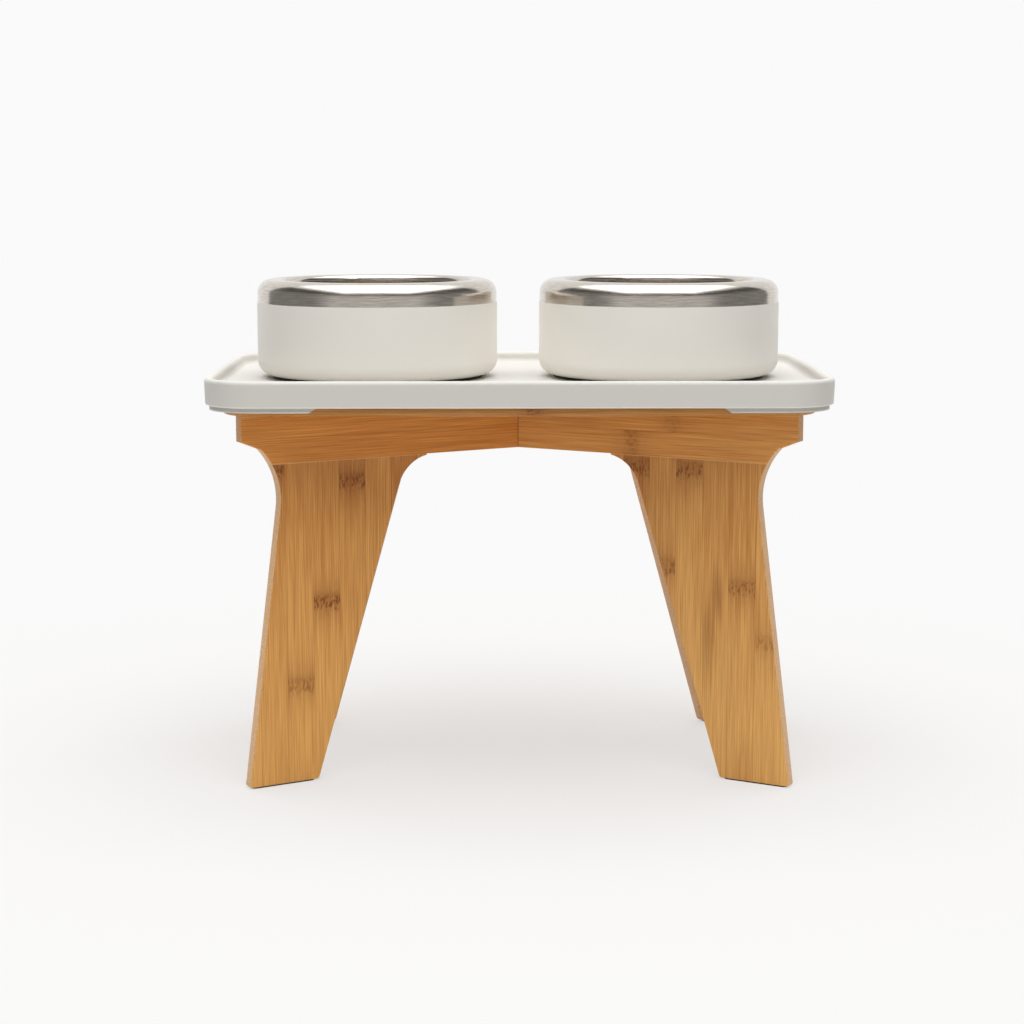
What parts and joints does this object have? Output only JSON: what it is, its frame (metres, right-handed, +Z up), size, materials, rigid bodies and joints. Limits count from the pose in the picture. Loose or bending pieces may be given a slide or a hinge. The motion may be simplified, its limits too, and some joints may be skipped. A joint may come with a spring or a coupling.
{
  "type": "dog feeder stand",
  "caption": "Raised pet feeder: crossed bamboo panel legs under a board, a white rimmed tray on top and double-wall steel bowls that lift out.",
  "frame": {"origin": "on the floor, under the middle of the stand", "axes": "+Z up, +X along the tray's length, -Y towards the viewer of the front"},
  "size_m": [0.4484, 0.2764, 0.363],
  "materials": {
    "bamboo": "satin lacquered strip-laminated bamboo",
    "dowel_wood": "plain beech dowel",
    "screw_steel": "zinc plated",
    "rubber": "matt black rubber",
    "tray_plastic": "fine matt moulded plastic",
    "bowl_steel": "satin brushed round the axis",
    "bowl_coat": "matt powder coat"
  },
  "bodies": {
    "stand": {"top_board": "bamboo", "over_rail": "bamboo", "under_rail": "bamboo", "leg_front_left": "bamboo", "leg_front_right": "bamboo", "leg_back_left": "bamboo", "leg_back_right": "bamboo", "leg_dowels": "dowel_wood", "board_screws": "screw_steel", "foot_pad_front_left": "rubber", "foot_pad_front_right": "rubber", "foot_pad_back_left": "rubber", "foot_pad_back_right": "rubber"},
    "tray": {"tray": "tray_plastic"},
    "left_bowl": {"left_bowl_liner": "bowl_steel", "left_bowl_shell": "bowl_coat", "left_bowl_base": "bowl_steel", "left_bowl_ring": "rubber"},
    "right_bowl": {"right_bowl_liner": "bowl_steel", "right_bowl_shell": "bowl_coat", "right_bowl_base": "bowl_steel", "right_bowl_ring": "rubber"}
  },
  "joints": [
    {"name": "tray_lift", "type": "slide", "parent": "stand", "child": "tray", "axis": [0, 0, 1], "range_m": [0, 0.06]},
    {"name": "left_bowl_lift", "type": "slide", "parent": "tray", "child": "left_bowl", "axis": [0, 0, 1], "range_m": [0, 0.09]},
    {"name": "right_bowl_lift", "type": "slide", "parent": "tray", "child": "right_bowl", "axis": [0, 0, 1], "range_m": [0, 0.09]}
  ]
}
